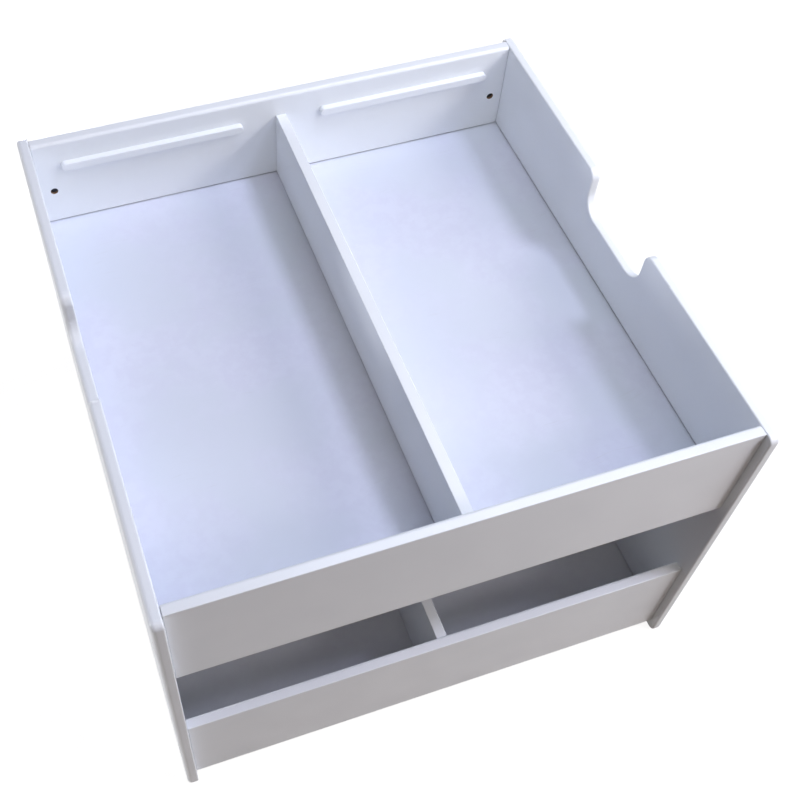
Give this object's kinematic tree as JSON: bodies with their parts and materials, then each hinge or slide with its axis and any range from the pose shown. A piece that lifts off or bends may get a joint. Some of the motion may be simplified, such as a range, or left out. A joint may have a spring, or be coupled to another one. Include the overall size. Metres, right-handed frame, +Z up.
{
  "type": "building block table",
  "caption": "Low children's play table of white painted board, with a divided tray on top, an open divided bin below and a hand notch in each side panel.",
  "frame": {"origin": "on the ground, under the middle of the table", "axes": "+X across the table to the right as seen from its front, +Y from its front to its back, +Z up"},
  "size_m": [0.592, 0.602, 0.427],
  "materials": {
    "white_paint": "satin white paint on fibreboard, rounded edges",
    "white_panel": "smooth white painted thin fibreboard",
    "zinc_steel": "bright zinc plated",
    "dark_steel": "blackened",
    "beech": "bare turned beech"
  },
  "bodies": {
    "root": {"left_side_panel": "white_paint", "right_side_panel": "white_paint", "upper_front_rail": "white_paint", "upper_back_rail": "white_paint", "lower_front_rail": "white_paint", "lower_back_rail": "white_paint", "tray_floor": "white_panel", "bin_floor": "white_panel", "tray_divider": "white_paint", "bin_divider": "white_paint", "front_left_batten": "white_paint", "front_right_batten": "white_paint", "back_left_batten": "white_paint", "back_right_batten": "white_paint", "upper_front_left_bolt": "zinc_steel", "upper_front_right_bolt": "zinc_steel", "upper_back_left_bolt": "zinc_steel", "upper_back_right_bolt": "zinc_steel", "lower_front_left_bolt": "zinc_steel", "lower_front_right_bolt": "zinc_steel", "lower_back_left_bolt": "zinc_steel", "lower_back_right_bolt": "zinc_steel", "upper_front_left_barrel_nut": "dark_steel", "upper_front_right_barrel_nut": "dark_steel", "upper_back_left_barrel_nut": "dark_steel", "upper_back_right_barrel_nut": "dark_steel", "lower_front_left_barrel_nut": "dark_steel", "lower_front_right_barrel_nut": "dark_steel", "lower_back_left_barrel_nut": "dark_steel", "lower_back_right_barrel_nut": "dark_steel", "upper_front_left_low_dowel": "beech", "upper_front_left_high_dowel": "beech", "upper_front_right_low_dowel": "beech", "upper_front_right_high_dowel": "beech", "upper_back_left_low_dowel": "beech", "upper_back_left_high_dowel": "beech", "upper_back_right_low_dowel": "beech", "upper_back_right_high_dowel": "beech", "lower_front_left_low_dowel": "beech", "lower_front_left_high_dowel": "beech", "lower_front_right_low_dowel": "beech", "lower_front_right_high_dowel": "beech", "lower_back_left_low_dowel": "beech", "lower_back_left_high_dowel": "beech", "lower_back_right_low_dowel": "beech", "lower_back_right_high_dowel": "beech", "tray_divider_front_low_dowel": "beech", "tray_divider_front_high_dowel": "beech", "tray_divider_back_low_dowel": "beech", "tray_divider_back_high_dowel": "beech", "bin_divider_front_low_dowel": "beech", "bin_divider_front_high_dowel": "beech", "bin_divider_back_low_dowel": "beech", "bin_divider_back_high_dowel": "beech"}
  },
  "joints": []
}
